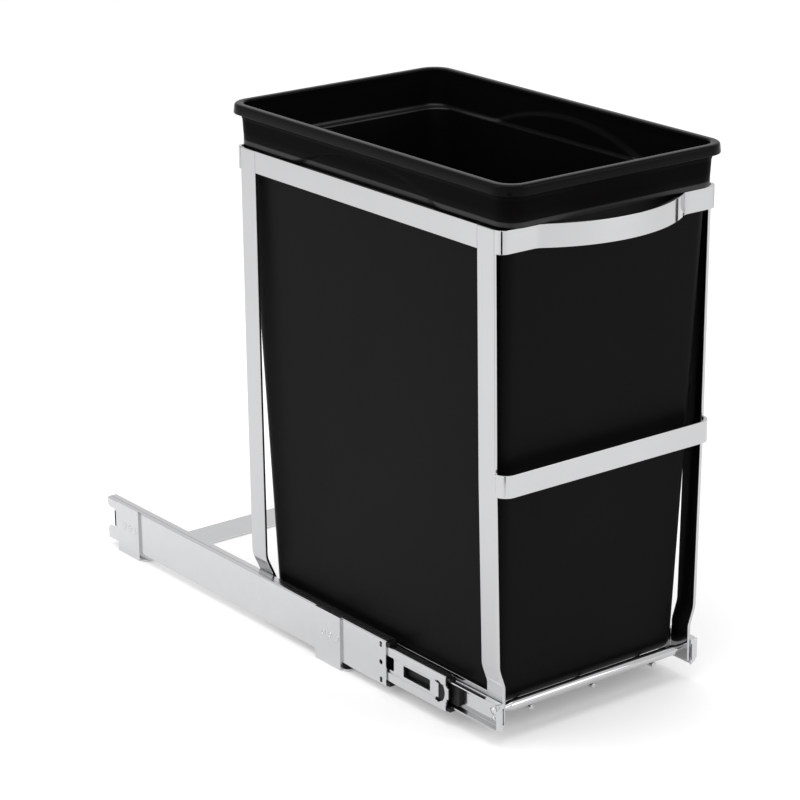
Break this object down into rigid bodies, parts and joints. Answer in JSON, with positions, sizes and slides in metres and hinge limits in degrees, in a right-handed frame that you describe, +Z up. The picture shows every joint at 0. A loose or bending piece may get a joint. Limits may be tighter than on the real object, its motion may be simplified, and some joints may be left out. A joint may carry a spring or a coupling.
{
  "type": "pull-out waste bin",
  "caption": "Pull-out cabinet waste bin: a tapered plastic bucket in a bright steel strip carriage that runs on ball-bearing telescopic slides fixed to the cabinet floor.",
  "frame": {"origin": "middle of the four floor screws, on the underside of the cross bars, which is the cabinet floor", "axes": "+Z up; -Y is the way the bin pulls out of the cabinet; +X to the right as seen with the back of the cabinet ahead"},
  "size_m": [0.2446, 0.6386, 0.493],
  "materials": {
    "chrome_strip": "bright chrome-plated steel strip and wire",
    "zinc_steel": "satin zinc-plated cold-rolled sheet steel",
    "slide_plastic": "black moulded nylon",
    "retainer_steel": "plain sheet steel",
    "ball_steel": "polished bearing steel",
    "bucket_plastic": "satin black moulded polypropylene with a fine texture and a glossier rolled rim"
  },
  "bodies": {
    "base": {"front_cross_bar": "zinc_steel", "rear_cross_bar": "zinc_steel", "clinch_studs": "zinc_steel", "left_outer_rail": "zinc_steel", "right_outer_rail": "zinc_steel", "left_rear_bumper": "slide_plastic", "right_rear_bumper": "slide_plastic", "left_front_guide": "slide_plastic", "right_front_guide": "slide_plastic"},
    "left_middle": {"left_middle_rail": "zinc_steel", "left_middle_end_cap": "slide_plastic"},
    "right_middle": {"right_middle_rail": "zinc_steel", "right_middle_end_cap": "slide_plastic"},
    "left_outer_bearing": {"left_outer_retainer": "retainer_steel", "left_outer_balls": "ball_steel"},
    "right_outer_bearing": {"right_outer_retainer": "retainer_steel", "right_outer_balls": "ball_steel"},
    "left_inner_bearing": {"left_inner_retainer": "retainer_steel", "left_inner_balls": "ball_steel"},
    "right_inner_bearing": {"right_inner_retainer": "retainer_steel", "right_inner_balls": "ball_steel"},
    "carriage": {"left_inner_rail": "zinc_steel", "right_inner_rail": "zinc_steel", "rail_rivets": "zinc_steel", "lever_pins": "zinc_steel", "left_front_leg": "chrome_strip", "right_front_leg": "chrome_strip", "left_rear_leg": "chrome_strip", "right_rear_leg": "chrome_strip", "left_top_strip": "chrome_strip", "right_top_strip": "chrome_strip", "left_bottom_strip": "chrome_strip", "right_bottom_strip": "chrome_strip", "handle_strip": "chrome_strip", "rear_hoop_strip": "chrome_strip", "front_guard_strip": "chrome_strip", "front_rod": "chrome_strip", "rear_rod": "chrome_strip", "left_support_wire": "chrome_strip", "centre_support_wire": "chrome_strip", "right_support_wire": "chrome_strip"},
    "left_lever": {"left_release_lever": "slide_plastic"},
    "right_lever": {"right_release_lever": "slide_plastic"},
    "bucket": {"waste_bucket": "bucket_plastic"}
  },
  "joints": [
    {"name": "carriage_slide", "type": "slide", "parent": "base", "child": "carriage", "axis": [0, -1, 0], "range_m": [-0.15, 0.3]},
    {"name": "left_middle_slide", "type": "slide", "parent": "base", "child": "left_middle", "axis": [0, -1, 0], "range_m": [-0.0825, 0.165]},
    {"name": "right_middle_slide", "type": "slide", "parent": "base", "child": "right_middle", "axis": [0, -1, 0], "range_m": [-0.0825, 0.165]},
    {"name": "left_outer_bearing_roll", "type": "slide", "parent": "base", "child": "left_outer_bearing", "axis": [0, -1, 0], "range_m": [-0.04125, 0.0825]},
    {"name": "right_outer_bearing_roll", "type": "slide", "parent": "base", "child": "right_outer_bearing", "axis": [0, -1, 0], "range_m": [-0.04125, 0.0825]},
    {"name": "left_inner_bearing_roll", "type": "slide", "parent": "base", "child": "left_inner_bearing", "axis": [0, -1, 0], "range_m": [-0.11625, 0.2325]},
    {"name": "right_inner_bearing_roll", "type": "slide", "parent": "base", "child": "right_inner_bearing", "axis": [0, -1, 0], "range_m": [-0.11625, 0.2325]},
    {"name": "left_lever_tip", "type": "hinge", "parent": "carriage", "child": "left_lever", "pos_m": [-0.1107, -0.318, 0.0283], "axis": [1, 0, 0], "range_deg": [-4, 4], "stiffness_Nm_per_rad": 0.3},
    {"name": "right_lever_tip", "type": "hinge", "parent": "carriage", "child": "right_lever", "pos_m": [0.1107, -0.318, 0.0283], "axis": [1, 0, 0], "range_deg": [-4, 4], "stiffness_Nm_per_rad": 0.3},
    {"name": "bucket_lift", "type": "slide", "parent": "carriage", "child": "bucket", "axis": [0, 0, 1], "range_m": [0, 0.48]}
  ],
  "couplings": [
    {"joint": "left_middle_slide", "follows": "carriage_slide", "ratio": 0.55},
    {"joint": "right_middle_slide", "follows": "carriage_slide", "ratio": 0.55},
    {"joint": "left_outer_bearing_roll", "follows": "carriage_slide", "ratio": 0.275},
    {"joint": "right_outer_bearing_roll", "follows": "carriage_slide", "ratio": 0.275},
    {"joint": "left_inner_bearing_roll", "follows": "carriage_slide", "ratio": 0.775},
    {"joint": "right_inner_bearing_roll", "follows": "carriage_slide", "ratio": 0.775}
  ]
}
